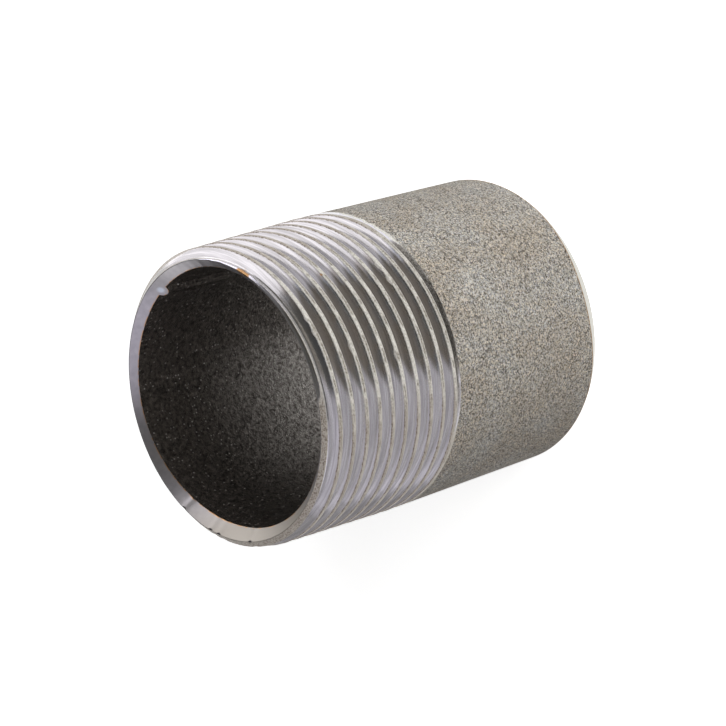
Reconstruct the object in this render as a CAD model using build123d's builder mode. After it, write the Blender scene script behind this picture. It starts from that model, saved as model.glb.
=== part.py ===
from build123d import *
import math
import os

# Pipe nipple, R 1 1/4, threaded at one end. Millimetres, +Z up.
# It stands on its plain end at Z = 0, and the threaded end is at the top.

# Tube: EN 10255 medium pipe, nominal size 1 1/4.
outer_diameter = 42.4
wall = 3.2
length = 52.0

# Tapered pipe thread to ISO 7-1: 11 turns to the inch, 55 degree form, 1 in 16 on the diameter.
pitch = 25.4 / 11
thread_depth = 1.479
flank_angle = 27.5
taper_on_diameter = 1 / 16
gauge_length = 12.7
thread_length = 23.4
# At the gauge plane the major diameter is 41.910, which is this much less than the tube's.
gauge_allowance = 0.49
# Distance from the threaded end to the first whole crest on the side that faces -Y.
first_crest_below_end = 2.4

# Shallow ring that the thread runs out into.
relief_width = 0.8
relief_depth = 0.35

# Threaded end: a deburring cone inside, a narrow flat rim and a lead-in cone outside.
deburr_width = 1.15
rim_flat = 0.1
inner_chamfer_angle = 45.0
lead_in_angle = 45.0

# Plain end, for welding: a small bevel outside.
bevel_width = 0.5
bevel_height = 0.7

# Raised weld seam along the bore of the rolled tube.
seam_angle = 23.0
seam_width = 1.9
seam_height = 0.6

outer_radius = outer_diameter / 2
bore_radius = outer_radius - wall
rim_inner_radius = bore_radius + deburr_width
rim_outer_radius = rim_inner_radius + rim_flat
gauge_diameter = outer_diameter - gauge_allowance
cone_slope = taper_on_diameter / 2
cone_angle = math.degrees(math.atan(cone_slope))
flank_slope = math.tan(math.radians(flank_angle))
crest_width = (pitch - 2 * thread_depth * flank_slope) / 2
seam_radius = (seam_width**2 / 4 + seam_height**2) / (2 * seam_height)

# The blank is this much longer than the nipple, and is trimmed after the thread is cut.
trim_margin = 2 * pitch
# The groove cutter stands this far proud of the crests.
cutter_rise = 0.25


def crest_radius(depth_below_end):
    """Radius of the cone that the thread's crests lie on, at a distance below the threaded end."""
    return gauge_diameter / 2 + (depth_below_end - gauge_length) * cone_slope


# Where the cone of the crests runs out of the tube's wall.
cone_length = gauge_length + (outer_radius - gauge_diameter / 2) / cone_slope
top = length + trim_margin

# The groove ends on the side that faces +Y, half a turn after a crest that faces -Y.
whole_turns = round((thread_length - first_crest_below_end) / pitch)
groove_end = first_crest_below_end + whole_turns * pitch
groove_foot = length - groove_end
groove_turns = (top - groove_foot) / pitch

with BuildPart() as groove:
    with BuildLine() as groove_path:
        Helix(
            pitch=pitch,
            height=groove_turns * pitch,
            radius=crest_radius(groove_end),
            center=(0, 0, groove_foot),
            cone_angle=-cone_angle,
        )
    path_start = groove_path.edges()[0].position_at(0)
    path_tangent = groove_path.edges()[0].tangent_at(0)
    root_half = crest_width / 2
    open_half = root_half + (thread_depth + cutter_rise) * flank_slope
    with BuildSketch(Plane(origin=path_start, x_dir=(1, 0, 0), z_dir=path_tangent)):
        with BuildLine():
            Polyline(
                (-thread_depth, -root_half),
                (cutter_rise, -open_half),
                (cutter_rise, open_half),
                (-thread_depth, root_half),
                close=True,
            )
        make_face()
    sweep(path=groove_path.line, is_frenet=True)

with BuildPart() as pipe_nipple:
    # Blank: the turned outside of the tube, with the cone that the crests lie on.
    with BuildSketch(Plane.XZ):
        with BuildLine():
            Polyline(
                (0, 0),
                (outer_radius - bevel_width, 0),
                (outer_radius, bevel_height),
                (outer_radius, length - cone_length),
                (crest_radius(-trim_margin), top),
                (0, top),
                close=True,
            )
        make_face()
    revolve(axis=Axis.Z)

    # Bore, with the raised seam left standing along it.
    with BuildSketch():
        Circle(bore_radius)
        with PolarLocations(bore_radius - seam_height + seam_radius, 1, start_angle=seam_angle):
            Circle(seam_radius, mode=Mode.SUBTRACT)
    extrude(amount=top, mode=Mode.SUBTRACT)

    # Thread.
    add(groove.part.rotate(Axis.Z, 90), mode=Mode.SUBTRACT)

    # Relief ring at the thread's end.
    relief_top = length - thread_length
    with BuildSketch(Plane.XZ):
        with BuildLine():
            Polyline(
                (outer_radius - relief_depth, relief_top - relief_width / 2),
                (outer_radius + relief_depth, relief_top - 3 * relief_width / 2),
                (outer_radius + relief_depth, relief_top + relief_width / 2),
                close=True,
            )
        make_face()
    revolve(axis=Axis.Z, mode=Mode.SUBTRACT)

    # Trim to length, with the lead-in cone.
    lead_in_run = trim_margin / math.tan(math.radians(lead_in_angle))
    with BuildSketch(Plane.XZ):
        with BuildLine():
            Polyline(
                (0, length),
                (rim_outer_radius, length),
                (rim_outer_radius + trim_margin, length - lead_in_run),
                (rim_outer_radius + trim_margin, top + trim_margin),
                (0, top + trim_margin),
                close=True,
            )
        make_face()
    revolve(axis=Axis.Z, mode=Mode.SUBTRACT)

    # Deburring cone inside the threaded end, which cuts the seam back too.
    cone_depth = rim_inner_radius / math.tan(math.radians(inner_chamfer_angle))
    with BuildSketch(Plane.XZ):
        with BuildLine():
            Polyline(
                (0, length - cone_depth),
                (rim_inner_radius, length),
                (rim_inner_radius, top),
                (0, top),
                close=True,
            )
        make_face()
    revolve(axis=Axis.Z, mode=Mode.SUBTRACT)

pipe_nipple.part.label = "pipe_nipple"
os.makedirs("parts", exist_ok=True)
export_step(pipe_nipple.part, "parts/pipe_nipple.step")
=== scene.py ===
import math
from functools import partial

import bpy
import numpy as np
from mathutils import Matrix, Vector


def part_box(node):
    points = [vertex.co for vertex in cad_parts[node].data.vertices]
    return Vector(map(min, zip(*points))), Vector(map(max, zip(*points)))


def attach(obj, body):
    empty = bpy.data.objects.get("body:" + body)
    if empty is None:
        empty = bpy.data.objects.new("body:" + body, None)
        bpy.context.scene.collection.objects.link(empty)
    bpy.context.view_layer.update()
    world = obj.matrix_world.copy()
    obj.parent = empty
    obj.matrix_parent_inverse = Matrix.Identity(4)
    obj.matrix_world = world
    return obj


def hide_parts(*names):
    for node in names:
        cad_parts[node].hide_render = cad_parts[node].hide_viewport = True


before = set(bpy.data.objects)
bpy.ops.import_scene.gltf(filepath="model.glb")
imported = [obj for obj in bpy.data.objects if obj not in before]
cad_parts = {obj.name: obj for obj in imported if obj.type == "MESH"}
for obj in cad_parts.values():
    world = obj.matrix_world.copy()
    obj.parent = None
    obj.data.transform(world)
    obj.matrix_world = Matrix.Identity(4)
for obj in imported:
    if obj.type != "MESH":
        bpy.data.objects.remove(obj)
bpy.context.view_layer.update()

mm = 0.001
deg = math.pi / 180
nodeLow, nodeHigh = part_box("pipe_nipple")       # corners of the solid, in metres


# sRGB hex to linear RGBA
def linearColour(hexColour):
    channels = [int(hexColour[i:i + 2], 16) / 255 for i in (1, 3, 5)]
    return [c / 12.92 if c <= 0.04045 else ((c + 0.055) / 1.055) ** 2.4 for c in channels] + [1.0]


# Adds a node with its settings. An input is a value, a socket, or a node whose first live output it takes.
# By number, Map Range has 0 value, 1 and 2 from, 3 and 4 to, and a colour Mix has 0 share, 6 and 7 colours
def addNode(tree, kind, inputs=None, **settings):
    node = tree.nodes.new("ShaderNode" + kind)
    for name, value in settings.items():
        setattr(node, name, value)
    for socket, value in (inputs or {}).items():
        if isinstance(value, bpy.types.Node):
            value = next(o for o in value.outputs if o.enabled)
        if isinstance(value, bpy.types.NodeSocket):
            tree.links.new(value, node.inputs[socket])
        else:
            node.inputs[socket].default_value = value
    return node


# Noise that repeats after each whole turn, so it has no seam round the tube
def turnNoise(theta, height, perTurn, perMillimetre, seed):
    size = 512
    lattice = np.random.default_rng(seed).random((perTurn, size))
    u = (theta / (2 * math.pi) % 1.0) * perTurn
    v = height * perMillimetre % size
    u0, v0 = np.floor(u).astype(int), np.floor(v).astype(int)
    fu, fv = u - u0, v - v0
    fu, fv = fu * fu * (3 - 2 * fu), fv * fv * (3 - 2 * fv)
    a = lattice[u0 % perTurn, v0 % size]
    b = lattice[(u0 + 1) % perTurn, v0 % size]
    c = lattice[u0 % perTurn, (v0 + 1) % size]
    d = lattice[(u0 + 1) % perTurn, (v0 + 1) % size]
    return 2 * ((a * (1 - fu) + b * fu) * (1 - fv) + (c * (1 - fu) + d * fu) * fv) - 1


# Bell curve of height 1. The angle is in radians, its middle and width are in degrees
def bell(theta, middle, width):
    away = (theta / deg - middle + 180) % 360 - 180
    return np.exp(-((away / width) ** 2))


# Direction out of the tube at an angle in degrees
def outward(theta):
    return Vector((-math.sin(theta * deg), -math.cos(theta * deg), 0))


# The nipple, in millimetres and degrees. Depth is the distance below the threaded end, and theta
# runs round the tube from the side that faces -Y, with theta = -90 at +X
print("Nipple mesh")
nipple = {
    "columns": 400,
    "tubeRows": 20,
    "boreRows": (12, 56),               # below and above boreMiddle
    "boreMiddle": 30.0,
    "pitch": 25.4 / 11,
    "firstCrest": 2.23,                 # depth at theta = 0
    "lastTurn": 9.0,                    # after this the groove only just cuts in
    "crestWidth": 0.56,
    "rootWidth": 0.34,
    "flankAngle": 27.5,
    "crestRounding": (0.06, 0.03),      # from the crest's edge inwards and outwards
    "rootRounding": (0.08, 0.04),       # from the root's edge outwards and inwards
    "gaugeDiameter": 41.91,
    "gaugeLength": 12.7,
    "taper": 1 / 16,                    # on the diameter
    "threadEnd": 24.2,
    "fadeThetas": (110, 178),           # the groove fades out between these
    "lastGrooveSlope": 0.6,
    # where they start, are whole, begin to fade and end
    "lastGrooveThetas": (-42, -33, 8, 45),
    "lastBandThetas": (-44, -36, 8, 40),
    "lipThetas": (-76, -66, -40, -34),
    "lipTheta": -53.0,
    "boreRadius": 18.03,
    "boreOval": (0.14, 10.0),           # height and theta, as in the next two
    "boreLobes": (0.12, 60.0),
    "rimShift": (0.16, 70.0),
    "coneDepth": 1.6,                   # the mill scale starts below the deburring cone
    "rimRadius": 19.2,
    "rimFlat": 0.1,
    "edgeStrip": 0.13,
    "rimStrip": 0.22,
    "bevelWidth": 0.2,
    "bevelHeight": 0.3,
    "bevelExtra": (0.75, 2.0, 26.0),    # height, theta and width, as in the next
    "rimTear": (0.05, -72.0, 18.0),
    "seamTheta": -112.0,
    "seamWidth": 1.9,
    "seamHeight": 0.6,
    "nickThetas": (139.0, 122.0, 117.0, 98.0),
    "nickWidth": 1.3,
    "nickDepth": 0.08,
    # theta and depth
    "burrs": ((-14.0, 2.2), (-20.0, 2.15), (-25.1, 18.0), (-32.3, 17.95), (-5.0, 6.8), (2.0, 13.7)),
    # theta, depth, radius and reach
    "rustSpots": (
        (-53.0, 0.05, 19.35, 0.75),
        (-49.8, 0.1, 19.35, 0.65),
        (-35.2, 8.43, 20.9, 0.35),
        (11.2, 10.1, 20.9, 0.3),
    ),
}

length = (nodeHigh.z - nodeLow.z) / mm
outerRadius = (nodeHigh.x - nodeLow.x) / 2 / mm
pitch = nipple["pitch"]
columns = nipple["columns"]
thetas = (np.arange(columns) / columns * 2 - 1) * math.pi
halfCrest = nipple["crestWidth"] / 2
rootEdge = (pitch - nipple["rootWidth"]) / 2
crestInside, crestOutside = nipple["crestRounding"]
rootOutside, rootInside = nipple["rootRounding"]
crestBend = (halfCrest - crestInside, halfCrest + crestOutside)
rootBend = (rootEdge - rootOutside, rootEdge + rootInside)


def crestRadius(depth):
    cone = nipple["gaugeDiameter"] / 2 + (depth - nipple["gaugeLength"]) * nipple["taper"] / 2
    return np.minimum(cone, outerRadius)


# Turns from the first crest, along the helix
def turnAt(depth, theta):
    return (depth - nipple["firstCrest"]) / pitch - theta / (2 * math.pi)


def pastLastTurn(depth, theta):
    return turnAt(depth, theta) > nipple["lastTurn"] + 0.1


# The thread ends in a torn lip at lipTheta, and a little earlier round theta = 60
def threadEnd(theta):
    ragged = turnNoise(theta, 0 * theta, 130, 1.0, 12)
    lip = bell(theta, nipple["lipTheta"], 14)
    return nipple["threadEnd"] - lip * (0.3 + 0.25 * ragged) - 0.35 * bell(theta, 60, 40)


# How far the groove lies under the crests. It fades out round the back, and where it comes round to
# the -Y side again it only just cuts in and ramps up to the tube
def threadDrop(depth, theta):
    grooveDepth = (rootEdge - halfCrest) / math.tan(nipple["flankAngle"] * deg)
    turn = turnAt(depth, theta)
    offset = np.abs((turn + 0.5) % 1.0 - 0.5) * pitch
    drop = np.interp(
        offset,
        [0, *crestBend, *rootBend, pitch / 2],
        [0, 0.01, 0.06, grooveDepth - 0.1, grooveDepth, grooveDepth],
    )
    fading = grooveDepth * np.interp(theta / deg, nipple["fadeThetas"], [1, 0])
    ramp = nipple["lastGrooveSlope"] * np.maximum(threadEnd(theta) - depth, 0)
    ramp = ramp * np.interp(theta / deg, nipple["lastGrooveThetas"], [0, 1, 1, 0])
    drop = np.where(turn > nipple["lastTurn"] - 1, np.minimum(drop, fading), drop)
    return np.where(turn > nipple["lastTurn"], np.minimum(drop, ramp), drop)


# The crests are a little uneven where the die tore them
def threadRadius(depth, theta):
    torn = 0.015 * turnNoise(theta, depth, 170, 1 / pitch, 11)
    lip = 0.07 * bell(theta, nipple["lipTheta"], 12) * pastLastTurn(depth, theta)
    return crestRadius(depth) - threadDrop(depth, theta) + torn + lip


def nicks(theta):
    return sum(bell(theta, middle, nipple["nickWidth"]) for middle in nipple["nickThetas"])


# The rim is cut a little off centre, torn at one place and knocked at four
def rimRadius(theta):
    tearHeight, tearTheta, tearWidth = nipple["rimTear"]
    torn = tearHeight * bell(theta, tearTheta, tearWidth) * turnNoise(theta, 0 * theta, 150, 1.0, 13)
    shift, shiftTheta = nipple["rimShift"]
    offCentre = shift * np.cos(theta - shiftTheta * deg)
    return nipple["rimRadius"] + offCentre + torn - nipple["nickDepth"] * nicks(theta)


# The tube is a little out of round inside, and its weld seam stands up along the bore
def boreRadius(theta, depth):
    seam = (theta - nipple["seamTheta"] * deg + math.pi) % (2 * math.pi) - math.pi
    across = seam * nipple["boreRadius"] / (nipple["seamWidth"] / 2)
    bead = nipple["seamHeight"] * np.sqrt(np.clip(1 - across**2, 0, 1))
    oval, ovalTheta = nipple["boreOval"]
    lobes, lobesTheta = nipple["boreLobes"]
    outOfRound = oval * np.cos(2 * (theta - ovalTheta * deg))
    outOfRound = outOfRound + lobes * np.cos(3 * (theta - lobesTheta * deg))
    scale = 0.07 * turnNoise(theta, depth, 110, 1.1, 3) + 0.03 * turnNoise(theta, depth, 220, 2.2, 4)
    scaled = np.clip((depth - nipple["coneDepth"]) / 0.5, 0, 1)
    return nipple["boreRadius"] + outOfRound - bead + scale * scaled


# Rows across one pitch, measured from the middle of a crest
halfRows = np.array([0.1, *crestBend, 0.6, *rootBend])
rowOffsets = np.concatenate([[-pitch / 2], -halfRows[::-1], halfRows])
rowsPerTurn = len(rowOffsets)
threadRows = np.concatenate([nipple["firstCrest"] + k * pitch + rowOffsets for k in range(-1, 11)])

# Marks for the materials: how far the lead-in cone cuts into the thread, the torn lip and the groove at
# its end, the knocks on the rim, the burrs on the crests, the inner edge of the deburring cone and the
# upper edge of the plain end's bevel
points, faces, finishes = [], [], []
marks = {"trimmed": [], "lip": [], "last": [], "nick": [], "burr": [], "edge": [], "ground": []}


def addPoint(depth, radius, theta, **values):
    points.append((-radius * math.sin(theta), -radius * math.cos(theta), length - depth))
    for name, column in marks.items():
        column.append(values.get(name, 0.0))
    return len(points) - 1


# One point in each column
def addRing(depth, radius, **values):
    depth, radius = (np.broadcast_to(v, columns) for v in (depth, radius))
    values = {name: np.broadcast_to(v, columns) for name, v in values.items()}
    return [addPoint(depth[i], radius[i], thetas[i], **{name: v[i] for name, v in values.items()})
            for i in range(columns)]


def addFace(corners, finish):
    corners = list(dict.fromkeys(corners))
    if len(corners) > 2:
        faces.append(corners)
        finishes.append(finish)


# Faces between two rings, from the threaded end down the outside and back up the bore
def bridge(upper, lower, finish):
    for i in range(columns):
        n = (i + 1) % columns
        addFace([upper[i], lower[i], lower[n], upper[n]], finish)


machined, blasted, scaled, deburred = range(4)
rimOuter = rimRadius(thetas) + nipple["rimFlat"]
rowDepths = threadRows[:, None] + pitch * thetas[None, :] / (2 * math.pi)
threadRadii = threadRadius(rowDepths, thetas[None, :])
leadIn = rimOuter[None, :] + rowDepths
trimmed = threadRadii - leadIn
radii = np.where(rowDepths > 0, np.minimum(threadRadii, leadIn), rimOuter[None, :])
pastLast = pastLastTurn(rowDepths, thetas[None, :])
threadDrops = threadDrop(rowDepths, thetas[None, :])
stopDepths = threadEnd(thetas)
# The lip is pale at lipThetas, and again from theta = 12 round to the back
lipShare = np.interp(thetas / deg, (*nipple["lipThetas"], 12, 40), [0, 1, 1, 0, 0, 0.9])
lipBand = np.clip((rowDepths - stopDepths[None, :] + 0.85) / 0.3, 0, 1)
lips = lipShare[None, :] * np.clip(1 - threadDrops / 0.1, 0, 1) * lipBand * pastLast
lastGroove = pastLast * np.clip(threadDrops / 0.08, 0, 1)
burrs = sum(
    bell(thetas[None, :], burrTheta, 1.6) * np.exp(-(((rowDepths - burrDepth) / 0.5) ** 2))
    for burrTheta, burrDepth in nipple["burrs"]
)

endRing = addRing(0.0, rimOuter, trimmed=threadRadius(0.0, thetas) - rimOuter, nick=nicks(thetas))
lastBand = np.interp(thetas / deg, nipple["lastBandThetas"], [0, 1, 1, 0])
stopRing = addRing(stopDepths, outerRadius, trimmed=-1.0, last=lastBand, lip=lips.max(axis=0))
closeBy = 0.03      # a row this near a ring takes the ring's point
rowNumbers = np.zeros(rowDepths.shape, int)
for j in range(len(threadRows)):
    for i in range(columns):
        d = rowDepths[j, i]
        if d <= closeBy:
            rowNumbers[j, i] = endRing[i]
        elif d >= stopDepths[i] - closeBy:
            rowNumbers[j, i] = stopRing[i]
        else:
            rowNumbers[j, i] = addPoint(
                d, radii[j, i], thetas[i],
                trimmed=max(trimmed[j, i], -1.0),
                lip=lips[j, i],
                last=lastGroove[j, i],
                nick=nicks(thetas[i]) * max(0.0, 1 - d / 0.3),
                burr=burrs[j, i],
            )

lastRow = len(threadRows) - 1
for j in range(lastRow):
    for i in range(columns):
        n = (i + 1) % columns
        turnOn = rowsPerTurn if n == 0 else 0    # the helix drops a pitch where a turn closes
        upperNext = rowNumbers[min(j + turnOn, lastRow), n]
        lowerNext = rowNumbers[min(j + 1 + turnOn, lastRow), n]
        addFace([rowNumbers[j, i], rowNumbers[j + 1, i], lowerNext, upperNext], machined)

# The plain end's bevel is ground unevenly, and is taller on the -Y side
extraHeight, extraTheta, extraWidth = nipple["bevelExtra"]
bevelTop = length - nipple["bevelHeight"] - extraHeight * bell(thetas, extraTheta, extraWidth)
ring = stopRing
for share in np.linspace(0, 1, nipple["tubeRows"])[1:]:
    depths = stopDepths + (bevelTop - stopDepths) * share
    following = addRing(depths, outerRadius, ground=float(share == 1))
    bridge(ring, following, blasted)
    ring = following
foot = addRing(length, outerRadius - nipple["bevelWidth"])
bridge(ring, foot, deburred)
ring = addRing(length, boreRadius(thetas, length))
bridge(foot, ring, deburred)

# The bore's rows lie closer together near the threaded end, where its scale is seen
middle = nipple["boreMiddle"]
lowerRows, upperRows = nipple["boreRows"]
boreDepths = [*np.linspace(length, middle, lowerRows)[1:], *np.linspace(middle, 2.0, upperRows)[1:]]
for depth in boreDepths:
    following = addRing(depth, boreRadius(thetas, depth))
    bridge(ring, following, scaled)
    ring = following

# The deburring cone is at 45 degrees, with a narrow strip at its edge and one at the rim
edgeStrip, rimStrip = nipple["edgeStrip"], nipple["rimStrip"]
edgeRadius = boreRadius(thetas, nipple["coneDepth"])
rimInner = rimRadius(thetas)
coneFoot = addRing(rimInner - edgeRadius, edgeRadius, edge=1.0)
bridge(ring, coneFoot, scaled)
nearEdge = addRing(rimInner - edgeRadius - edgeStrip, edgeRadius + edgeStrip)
bridge(coneFoot, nearEdge, deburred)
nearRim = addRing(rimStrip, rimInner - rimStrip)
rimRing = addRing(0.0, rimInner, nick=nicks(thetas))
bridge(nearEdge, nearRim, deburred)
bridge(nearRim, rimRing, deburred)
bridge(rimRing, endRing, deburred)

mesh = bpy.data.meshes.new("pipeNipple")
mesh.from_pydata([[c * mm for c in p] for p in points], [], [[int(n) for n in f] for f in faces])
mesh.polygons.foreach_set("material_index", finishes)
for name, values in marks.items():
    mesh.attributes.new(name, "FLOAT", "POINT").data.foreach_set("value", np.array(values, np.float32))
mesh.polygons.foreach_set("use_smooth", [True] * len(faces))
mesh.update()
mesh.set_sharp_from_angle(angle=16 * deg)
body = bpy.data.objects.new("pipe_nipple_finished", mesh)
bpy.context.scene.collection.objects.link(body)
print("Triangles:", sum(len(f) - 2 for f in faces))


def newMaterial(name):
    material = bpy.data.materials.new(name)
    material.use_nodes = True
    material.node_tree.nodes.clear()
    return material, partial(addNode, material.node_tree)


# Object coordinates in millimetres, so that a texture's scale is how many grains it has in one
def millimetres(add):
    place = add("TexCoord").outputs["Object"]
    return add("VectorMath", {0: place, "Scale": 1 / mm}, operation="SCALE")


# Millimetres from the middle of the nearest crest, less than 0 towards the threaded end
def threadOffset(add, place):
    axes = add("SeparateXYZ", {0: place})
    backX = add("Math", {0: axes.outputs[0], 1: -1.0}, operation="MULTIPLY")
    backY = add("Math", {0: axes.outputs[1], 1: -1.0}, operation="MULTIPLY")
    angle = add("Math", {0: backX, 1: backY}, operation="ARCTAN2")
    turnShare = add("Math", {0: angle, 1: 2 * math.pi}, operation="DIVIDE")
    depth = add("Math", {0: length - nipple["firstCrest"], 1: axes.outputs[2]}, operation="SUBTRACT")
    depthTurns = add("Math", {0: depth, 1: pitch}, operation="DIVIDE")
    turn = add("Math", {0: depthTurns, 1: turnShare}, operation="SUBTRACT")
    nearest = add("Math", {0: turn}, operation="ROUND")
    past = add("Math", {0: turn, 1: nearest}, operation="SUBTRACT")
    return add("Math", {0: past, 1: pitch}, operation="MULTIPLY")


# Share of rust: small spots whose edges are broken up by noise
def rustShare(add, place):
    nearest = 9.0       # far from every spot
    for theta, depth, radius, reach in nipple["rustSpots"]:
        spot = outward(theta) * radius + Vector((0, 0, length - depth))
        away = add("VectorMath", {0: place, 1: spot}, operation="DISTANCE").outputs["Value"]
        away = add("Math", {0: away, 1: reach}, operation="DIVIDE")
        nearest = add("Math", {0: nearest, 1: away}, operation="MINIMUM")
    crumbs = add("TexNoise", {"Vector": place, "Scale": 3.0, "Detail": 3.0, "Roughness": 0.7})
    broken = add("Math", {0: nearest, 1: crumbs, 2: 0.0}, operation="MULTIPLY_ADD")
    return add("MapRange", {0: broken, 1: 0.5, 2: 0.36}, interpolation_type="SMOOTHSTEP")


# Mild steel cut by a thread die. Its flanks have fine rings and mirror the lights softly; on the -Y side
# they are painted darker, a painted shade. The crests are torn, pale and rough. The tears are 0.25 mm
# wide, and the rings 0.11 mm apart, which is coarser than real ones, so that they show
def dieCutSteel():
    material, add = newMaterial("dieCutSteel")
    place = millimetres(add)
    offset = threadOffset(add, place)
    names = ("trimmed", "lip", "last", "nick", "burr")
    mark = {name: add("Attribute", attribute_name=name).outputs["Fac"] for name in names}
    fine = add("VectorMath", {0: place, 1: (4.0, 4.0, 7.0)}, operation="MULTIPLY")
    tear = add("TexNoise", {"Vector": fine, "Scale": 1.0, "Detail": 2.0, "Roughness": 0.65})
    blotches = add("TexNoise", {"Vector": place, "Scale": 0.35, "Detail": 3.0, "Roughness": 0.6})
    ringed = add("VectorMath", {0: place, 1: (0.12, 0.12, 9.0)}, operation="MULTIPLY")
    rings = add("TexNoise", {"Vector": ringed, "Scale": 1.0, "Detail": 3.0, "Roughness": 0.6})
    hatched = add("VectorMath", {0: place, 1: (4.5, 4.5, 1.5)}, operation="MULTIPLY")
    hatch = add("TexNoise", {"Vector": hatched, "Scale": 1.0, "Detail": 2.0})

    # Where the metal is torn: crests, the tip that the lead-in cone leaves, and the thread's end
    wander = add("Math", {0: tear, 1: 0.16, 2: -0.08}, operation="MULTIPLY_ADD")
    wander = add("Math", {0: mark["burr"], 1: -0.16, 2: wander}, operation="MULTIPLY_ADD")
    fromCrest = add("Math", {0: add("Math", {0: offset}, operation="ABSOLUTE"), 1: wander}, operation="ADD")
    crest = add("MapRange", {0: fromCrest, 1: halfCrest + 0.09, 2: halfCrest + 0.01},
                interpolation_type="SMOOTHSTEP")
    uncut = add("MapRange", {0: mark["trimmed"], 1: 0.02, 2: -0.05})
    crest = add("Math", {0: crest, 1: uncut}, operation="MULTIPLY")
    across = add("SeparateXYZ", {0: place}).outputs[0]
    low = add("MapRange", {0: across, 1: -1.5, 2: -5.0})
    high = add("MapRange", {0: across, 1: 10.0, 2: 14.0})
    eitherSide = add("Math", {0: low, 1: high}, operation="MAXIMUM")
    onCrest = add("MapRange", {0: eitherSide, 3: 0.15, 4: 1.7})
    offCrest = add("MapRange", {0: low, 3: 0.5, 4: 1.4})
    tipReach = add("MapRange", {0: fromCrest, 1: halfCrest, 2: halfCrest + 0.2, 3: onCrest, 4: offCrest})
    tipAway = add("Math", {0: wander, 1: 1.5, 2: mark["trimmed"]}, operation="MULTIPLY_ADD")
    tipStart = add("MapRange", {0: tipAway, 1: -0.1, 2: 0.0})
    tipEnd = add("MapRange", {0: add("Math", {0: tipAway, 1: tipReach}, operation="DIVIDE"), 1: 1.2, 2: 0.9})
    tip = add("Math", {0: tipStart, 1: tipEnd}, operation="MULTIPLY")
    ragged = add("Math", {0: wander, 1: 4.0, 2: mark["lip"]}, operation="MULTIPLY_ADD")
    lip = add("MapRange", {0: ragged, 1: 0.5, 2: 0.7})
    torn = add("Math", {0: crest, 1: tip}, operation="MAXIMUM")
    torn = add("Math", {0: torn, 1: lip}, operation="MAXIMUM")

    # Flanks: lilac grey on the far side of each crest, and painted darker and browner on the -Y side as
    # painted shade
    flank = add("Mix", {0: add("MapRange", {0: rings, 1: 0.35, 2: 0.65}), 6: linearColour("#9D9B99"),
                        7: linearColour("#C0BEBC")}, data_type="RGBA")
    # Painted shade: both flanks are coloured darker and browner where they face the -Y side
    side = add("VectorMath", {0: place, 1: outward(-13)}, operation="DOT_PRODUCT").outputs["Value"]
    paintedShadeSide = add("MapRange", {0: side, 1: 18.3, 2: 19.3}, interpolation_type="SMOOTHSTEP")
    behind = add("Mix", {0: paintedShadeSide, 6: linearColour("#CDCBD4"), 7: linearColour("#8C8680")}, data_type="RGBA")
    rear = add("MapRange", {0: offset, 1: halfCrest, 2: halfCrest + 0.12})
    flank = add("Mix", {0: rear, 6: flank, 7: behind}, data_type="RGBA")
    outer = add("MapRange", {0: offset, 1: -0.8, 2: -0.45})
    nearFlankShade = add("Math", {0: outer, 1: paintedShadeSide}, operation="MULTIPLY")
    nearFlankShade = add("Math", {0: nearFlankShade, 1: 0.75}, operation="MULTIPLY")
    front = add("MapRange", {0: offset, 1: halfCrest, 2: 0.0})
    nearFlankShade = add("Math", {0: nearFlankShade, 1: front}, operation="MULTIPLY")
    flankShadeColour = add("Mix", {0: add("MapRange", {0: blotches, 1: 0.42, 2: 0.58}), 6: linearColour("#7B746D"),
                      7: linearColour("#777A7F")}, data_type="RGBA")
    flank = add("Mix", {0: nearFlankShade, 6: flank, 7: flankShadeColour}, data_type="RGBA")

    # The last shallow groove is painted dark, as painted shade
    last = add("Mix", {0: add("MapRange", {0: tear, 1: 0.4, 2: 0.65}), 6: linearColour("#56524E"),
                       7: linearColour("#8E8A85")}, data_type="RGBA")
    flank = add("Mix", {0: mark["last"], 6: flank, 7: last}, data_type="RGBA")

    # Crests: two pale edges with a darker hatched strip between them in places. Away from the -Y side they
    # are painted browner, with a darker specked band at their near edge, as painted shade
    strip = add("MapRange", {0: fromCrest, 1: 0.2, 2: 0.1})
    worn = add("MapRange", {0: blotches, 1: 0.44, 2: 0.54})
    hatching = add("Math", {0: strip, 1: worn}, operation="MULTIPLY")
    hatching = add("Math", {0: hatching, 1: uncut}, operation="MULTIPLY")
    stripColour = add("Mix", {0: add("MapRange", {0: tear, 1: 0.4, 2: 0.6}), 6: linearColour("#7C756C"),
                              7: linearColour("#B9B4AA")}, data_type="RGBA")
    pale = add("Mix", {0: add("MapRange", {0: tear, 1: 0.35, 2: 0.6}), 6: linearColour("#BAB6AD"),
                       7: linearColour("#E0DDD6")}, data_type="RGBA")
    crestColour = add("Mix", {0: hatching, 6: pale, 7: stripColour}, data_type="RGBA")
    before = add("MapRange", {0: add("Math", {0: offset, 1: wander}, operation="ADD"), 1: -0.14, 2: -0.26})
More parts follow.
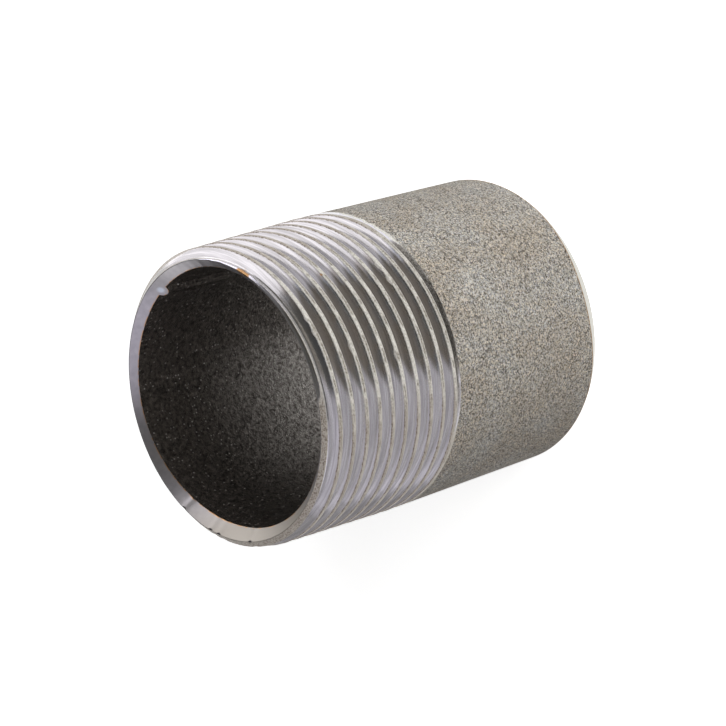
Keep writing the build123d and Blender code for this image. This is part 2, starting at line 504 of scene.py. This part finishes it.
    # Painted shade: crests turned away from the -Y side are coloured browner and darker
    crestShadeSide = add("MapRange", {0: side, 1: 19.0, 2: 16.0})
    sideShare = add("Math", {0: crestShadeSide, 1: 0.6}, operation="MULTIPLY")
    crestColour = add("Mix", {0: sideShare, 6: crestColour, 7: linearColour("#ABA297")}, data_type="RGBA")
    shadedCrestBand = add("Math", {0: before, 1: crestShadeSide}, operation="MULTIPLY")
    shadedCrestBand = add("Math", {0: shadedCrestBand, 1: crest}, operation="MULTIPLY")
    specked = add("Mix", {0: add("MapRange", {0: tear, 1: 0.38, 2: 0.52}), 6: linearColour("#5F5145"),
                          7: linearColour("#A3978A")}, data_type="RGBA")
    crestColour = add("Mix", {0: shadedCrestBand, 6: crestColour, 7: specked}, data_type="RGBA")
    onCone = add("MapRange", {0: mark["trimmed"], 1: 0.0, 2: 0.1})
    coneShare = add("Math", {0: onCone, 1: low}, operation="MULTIPLY")
    coneColour = add("Mix", {0: add("MapRange", {0: tear, 1: 0.38, 2: 0.55}), 6: linearColour("#776C61"),
                             7: linearColour("#BAB3A8")}, data_type="RGBA")
    crestColour = add("Mix", {0: coneShare, 6: crestColour, 7: coneColour}, data_type="RGBA")
    lipColour = add("Mix", {0: add("MapRange", {0: tear, 1: 0.35, 2: 0.6}), 6: linearColour("#CAC7BF"),
                            7: linearColour("#EEECE7")}, data_type="RGBA")
    paleLip = add("Math", {0: lip, 1: add("MapRange", {0: low, 3: 1.0, 4: 0.0})}, operation="MULTIPLY")
    crestColour = add("Mix", {0: paleLip, 6: crestColour, 7: lipColour}, data_type="RGBA")
    colour = add("Mix", {0: torn, 6: flank, 7: crestColour}, data_type="RGBA")
    colour = add("Mix", {0: rustShare(add, place), 6: colour, 7: linearColour("#A07C54")}, data_type="RGBA")
    # Painted shade: the knocks in the rim are coloured near black
    knockShade = add("MapRange", {0: mark["nick"], 1: 0.35, 2: 0.7})
    colour = add("Mix", {0: knockShade, 6: colour, 7: linearColour("#2E2B2C")}, data_type="RGBA")

    height = add("Math", {0: tear, 1: torn}, operation="MULTIPLY")
    ringHeight = add("Math", {0: rings, 1: 0.3}, operation="MULTIPLY")
    height = add("Math", {0: height, 1: 2.5, 2: ringHeight}, operation="MULTIPLY_ADD")
    height = add("Math", {0: hatch, 1: 0.2, 2: height}, operation="MULTIPLY_ADD")
    bump = add("Bump", {"Height": height, "Strength": 1.0, "Distance": 0.008 * mm})
    roughness = add("MapRange", {0: torn, 3: 0.18, 4: 0.6})
    metallic = add("MapRange", {0: torn, 3: 1.0, 4: 0.55})
    shader = add("BsdfPrincipled", {
        "Base Color": colour, "Metallic": metallic, "Roughness": roughness, "Normal": bump,
    })
    add("OutputMaterial", {0: shader})
    return material


# Grit-blasted steel tube: matt, with a speckle of beige, grey and bluish pits 0.2 mm wide, a little
# coarser than real ones so that they show, and a thin line of rust along the plain end's bevel
def blastedSteel():
    material, add = newMaterial("blastedSteel")
    place = millimetres(add)
    pits = add("TexNoise", {"Vector": place, "Scale": 5.2, "Detail": 3.0, "Roughness": 0.8})
    tints = add("TexNoise", {"Vector": place, "Scale": 3.6, "Detail": 1.0})
    clouds = add("TexNoise", {"Vector": place, "Scale": 0.16, "Detail": 2.0})
    grit = add("TexVoronoi", {"Vector": place, "Scale": 5.5})
    chance = add("SeparateColor", {0: grit.outputs["Color"]}).outputs[0]
    share = add("Math", {0: chance, 1: 0.3}, operation="MULTIPLY")
    share = add("Math", {0: share, 1: pits}, operation="ADD")
    share = add("MapRange", {0: share, 1: 0.46, 2: 0.84})
    speckle = add("Mix", {0: share, 6: linearColour("#4A433D"), 7: linearColour("#FFFFFF")},
                  data_type="RGBA")
    tint = add("Mix", {0: add("MapRange", {0: tints, 1: 0.35, 2: 0.65}), 6: linearColour("#FBF3E3"),
                       7: linearColour("#EDEEF0")}, data_type="RGBA")
    cloud = add("Mix", {0: add("MapRange", {0: clouds, 1: 0.35, 2: 0.65}), 6: linearColour("#F6EFE6"),
                        7: linearColour("#FDFCFA")}, data_type="RGBA")
    colour = add("Mix", {0: 1.0, 6: speckle, 7: tint}, data_type="RGBA", blend_type="MULTIPLY")
    colour = add("Mix", {0: 1.0, 6: colour, 7: cloud}, data_type="RGBA", blend_type="MULTIPLY")
    rusty = add("MapRange", {0: add("Attribute", attribute_name="ground").outputs["Fac"], 1: 0.88, 2: 0.94})
    colour = add("Mix", {0: rusty, 6: colour, 7: linearColour("#B08C63")}, data_type="RGBA")
    bump = add("Bump", {"Height": pits, "Strength": 1.0, "Distance": 0.12 * mm})
    shader = add("BsdfPrincipled", {
        "Base Color": colour, "Metallic": 0.05, "Roughness": 0.9, "Normal": bump,
    })
    add("OutputMaterial", {0: shader})
    return material


# Black mill scale left on the inside of the rolled tube: dark, with pimples 0.6 mm wide and small glints
# painted as pale grains. Further down on the +Y side it is painted paler, a painted sheen
def millScale():
    material, add = newMaterial("millScale")
    place = millimetres(add)
    pimples = add("TexNoise", {"Vector": place, "Scale": 1.7, "Detail": 4.0, "Roughness": 0.75})
    cells = add("TexVoronoi", {"Vector": place, "Scale": 1.9})
    raised = add("MapRange", {0: cells.outputs["Distance"], 1: 0.34, 2: 0.06},
                 interpolation_type="SMOOTHSTEP")
    chance = add("SeparateColor", {0: cells.outputs["Color"]}).outputs[0]
    some = add("MapRange", {0: chance, 1: 0.55, 2: 1.0})
    grainsPaintedAsGlints = add("Math", {0: raised, 1: some}, operation="MULTIPLY")
    height = add("SeparateXYZ", {0: place}).outputs[2]
    # Painted sheen: the scale is coloured paler further down on the +Y side
    paintedSheen = add("MapRange", {0: height, 1: 44.0, 2: 14.0}, interpolation_type="SMOOTHSTEP")
    side = add("VectorMath", {0: place, 1: outward(165)}, operation="DOT_PRODUCT").outputs["Value"]
    sheenFacing = add("MapRange", {0: side, 1: 12.5, 2: 17.4, 3: 0.2, 4: 1.0}, interpolation_type="SMOOTHSTEP")
    paintedSheen = add("Math", {0: paintedSheen, 1: sheenFacing}, operation="MULTIPLY")
    dark = add("Mix", {0: paintedSheen, 6: linearColour("#2D2925"), 7: linearColour("#6E6863")}, data_type="RGBA")
    light = add("Mix", {0: paintedSheen, 6: linearColour("#6C655E"), 7: linearColour("#E6E1DC")}, data_type="RGBA")
    paleness = add("MapRange", {0: pimples, 1: 0.36, 2: 0.66})
    colour = add("Mix", {0: paleness, 6: dark, 7: light}, data_type="RGBA")
    # Painted glints: the raised grains are coloured pale
    colour = add("Mix", {0: grainsPaintedAsGlints, 6: colour, 7: linearColour("#DAD6CF")}, data_type="RGBA")
    relief = add("Math", {0: grainsPaintedAsGlints, 1: 0.6, 2: pimples}, operation="MULTIPLY_ADD")
    bump = add("Bump", {"Height": relief, "Strength": 1.0, "Distance": 0.35 * mm})
    shader = add("BsdfPrincipled", {
        "Base Color": colour, "Metallic": 1.0, "Roughness": 0.28, "Normal": bump,
    })
    add("OutputMaterial", {0: shader})
    return material


# The cone left by the deburring tool: turned steel with faint rings 0.17 mm apart, bluish on the seam's
# weld, with a broken line of rust at the bore, and more worn towards -X. The plain end's bevel and face
# are of the same steel, and paler
def deburredSteel():
    material, add = newMaterial("deburredSteel")
    place = millimetres(add)
    mark = {name: add("Attribute", attribute_name=name).outputs["Fac"] for name in ("nick", "edge")}
    ringed = add("VectorMath", {0: place, 1: (0.25, 0.25, 6.0)}, operation="MULTIPLY")
    rings = add("TexNoise", {"Vector": ringed, "Scale": 1.0, "Detail": 3.0})
    mottle = add("TexNoise", {"Vector": place, "Scale": 1.2, "Detail": 2.0})
    colour = add("Mix", {0: mottle, 6: linearColour("#9A979A"), 7: linearColour("#BBB8B9")},
                 data_type="RGBA")
    axes = add("SeparateXYZ", {0: place})
    worn = add("MapRange", {0: axes.outputs[0], 1: -10.0, 2: -17.0})
    colour = add("Mix", {0: worn, 6: colour, 7: linearColour("#9C978D")}, data_type="RGBA")
    ground = add("MapRange", {0: axes.outputs[2], 1: 3.0, 2: 2.0})
    colour = add("Mix", {0: ground, 6: colour, 7: linearColour("#C3C2BC")}, data_type="RGBA")
    patchy = add("MapRange", {0: mottle, 1: 0.4, 2: 0.55})
    edge = add("Math", {0: mark["edge"], 1: patchy}, operation="MULTIPLY")
    colour = add("Mix", {0: edge, 6: colour, 7: linearColour("#B98B52")}, data_type="RGBA")
    seamTip = outward(nipple["seamTheta"]) * 18 + Vector((0, 0, length - 1))
    fromSeam = add("VectorMath", {0: place, 1: seamTip}, operation="DISTANCE").outputs["Value"]
    weld = add("MapRange", {0: fromSeam, 1: 0.7, 2: 0.3})
    colour = add("Mix", {0: weld, 6: colour, 7: linearColour("#CBD1D9")}, data_type="RGBA")
    rust = rustShare(add, place)
    colour = add("Mix", {0: rust, 6: colour, 7: linearColour("#9C7A52")}, data_type="RGBA")
    # Painted shade: the knocks in the rim are coloured near black
    knockShade = add("MapRange", {0: mark["nick"], 1: 0.35, 2: 0.7})
    colour = add("Mix", {0: knockShade, 6: colour, 7: linearColour("#2E2B2C")}, data_type="RGBA")
    relief = add("Math", {0: mottle, 1: 0.4, 2: rings}, operation="MULTIPLY_ADD")
    bump = add("Bump", {"Height": relief, "Strength": 1.0, "Distance": 0.006 * mm})
    roughness = add("MapRange", {0: worn, 3: 0.32, 4: 0.5})
    shader = add("BsdfPrincipled", {
        "Base Color": colour, "Metallic": 1.0, "Roughness": roughness, "Normal": bump,
    })
    add("OutputMaterial", {0: shader})
    return material


print("Materials")
for make in (dieCutSteel, blastedSteel, millScale, deburredSteel):
    mesh.materials.append(make())

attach(body, "root")
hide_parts("pipe_nipple")

# Matt white paper: the floor and the low wall that it bends up into, in metres. They show white to the
# camera and to metal, and the floor keeps the shadow
print("Floor, light and camera")
cove = {
    "flatRadius": 1.5,
    "bend": 0.3,
    "height": 0.5,
    "segments": 64,
    "bendRows": 7,
    "glow": (0.84, 1.0),        # near the part, where the lamps light it too, and further out
    "glowReach": (0.3, 1.0),
}
bends = np.linspace(0, math.pi / 2, cove["bendRows"])
flatRadius, bend, segments = cove["flatRadius"], cove["bend"], cove["segments"]
profile = [(flatRadius + bend * math.sin(a), bend * (1 - math.cos(a))) for a in bends]
profile.append((flatRadius + bend, cove["height"]))
turns = [i / segments * 2 * math.pi for i in range(segments)]
coveFaces = [list(range(segments))]
for j in range(len(profile) - 1):
    inner, outer = j * segments, (j + 1) * segments
    for i in range(segments):
        n = (i + 1) % segments
        coveFaces.append([inner + i, outer + i, outer + n, inner + n])
floorMesh = bpy.data.meshes.new("floor")
covePoints = [(r * math.cos(a), r * math.sin(a), z) for r, z in profile for a in turns]
floorMesh.from_pydata(covePoints, [], coveFaces)
floor = bpy.data.objects.new("floor", floorMesh)
bpy.context.scene.collection.objects.link(floor)
material, add = newMaterial("palePaper")
paper = add("BsdfDiffuse", {"Color": linearColour("#E8E8E8")})
fromPart = add("VectorMath", {0: add("TexCoord").outputs["Object"]}, operation="LENGTH").outputs["Value"]
nearReach, farReach = cove["glowReach"]
nearGlow, farGlow = cove["glow"]
strength = add("MapRange", {0: fromPart, 1: nearReach, 2: farReach, 3: nearGlow, 4: farGlow})
glow = add("Emission", {"Color": linearColour("#FFFFFF"), "Strength": strength})
rays = add("LightPath")
seen = add("Math", {0: rays.outputs["Is Camera Ray"], 1: rays.outputs["Is Glossy Ray"]}, operation="MAXIMUM")
seen = add("Math", {0: seen, 1: rays.outputs["Is Transmission Ray"]}, operation="MAXIMUM")
lit = add("AddShader", {0: paper, 1: glow})
add("OutputMaterial", {0: add("MixShader", {0: seen, 1: paper, 2: lit})})
floorMesh.materials.append(material)

# The world is dimmer for matt surfaces than for metal, which mirrors the studio
sky = {"colour": "#FFFDF9", "matt": 0.08, "metal": 0.18}
world = bpy.data.worlds.new("studio")
bpy.context.scene.world = world
world.use_nodes = True
background = world.node_tree.nodes["Background"]
background.inputs["Color"].default_value = linearColour(sky["colour"])
mirrored = addNode(world.node_tree, "LightPath").outputs["Is Glossy Ray"]
strength = addNode(world.node_tree, "MapRange", {0: mirrored, 3: sky["matt"], 4: sky["metal"]})
world.node_tree.links.new(strength.outputs[0], background.inputs["Strength"])

# Softboxes, in metres and watts. Metal mirrors the key, the reflector and the fill, and the front light
# lights the matt tube, so each keeps its own brightness
softboxes = {
    "key": {
        "place": (0.6, 0.485, 0.67),
        "aim": (0, 0.485, 0.67),
        "size": (1.08, 1.21),
        "watts": 7.4,
        "colour": "#F8F6FF",
        "mirrored": True,
    },
    "reflector": {
        "place": (-0.5, -0.09, 0.55),
        "aim": (0.02, -0.09, 0.05),
        "size": (0.9, 1.0),
        "watts": 2.1,
        "colour": "#EFECFF",
        "mirrored": True,
    },
    "fill": {
        "place": (-0.55, 0.8, 0.5),
        "aim": (0, 0, 0.03),
        "size": (0.8, 0.9),
        "watts": 0.7,
        "colour": "#F4F2FF",
        "mirrored": True,
    },
    "front": {
        "place": (0.44, -0.78, 0.6),
        "aim": (0, 0, 0.03),
        "size": (0.9, 0.9),
        "watts": 9.8,
        "colour": "#FFFFFF",
        "mirrored": False,
    },
}
for name, box in softboxes.items():
    light = bpy.data.lights.new(name, "AREA")
    light.shape = "RECTANGLE"
    light.size, light.size_y = box["size"]
    light.energy = box["watts"]
    light.color = linearColour(box["colour"])[:3]
    lamp = bpy.data.objects.new(name, light)
    lamp.location = box["place"]
    lamp.rotation_mode = "QUATERNION"
    lamp.rotation_quaternion = (Vector(box["aim"]) - Vector(box["place"])).to_track_quat("-Z", "Y")
    lamp.visible_diffuse = not box["mirrored"]
    lamp.visible_glossy = box["mirrored"]
    bpy.context.scene.collection.objects.link(lamp)

# Camera: the place and aim are in millimetres, in the nipple's own frame
view = {"place": (0.0, -247.4, 248.1), "aim": (-0.65, 0.0, 25.66), "roll": -106.84, "lens": 117.56}
camera = bpy.data.objects.new("camera", bpy.data.cameras.new("camera"))
bpy.context.scene.collection.objects.link(camera)
camera.data.sensor_width = 36
camera.data.lens = view["lens"]
camera.data.clip_start, camera.data.clip_end = 0.01, 10
place, aim = Vector(view["place"]) * mm, Vector(view["aim"]) * mm
camera.location = place
camera.rotation_mode = "QUATERNION"
level = (aim - place).to_track_quat("-Z", "Y").to_matrix()
camera.rotation_quaternion = (level @ Matrix.Rotation(view["roll"] * deg, 3, "Z")).to_quaternion()
bpy.context.scene.camera = camera

bpy.context.scene.view_settings.view_transform = "Standard"
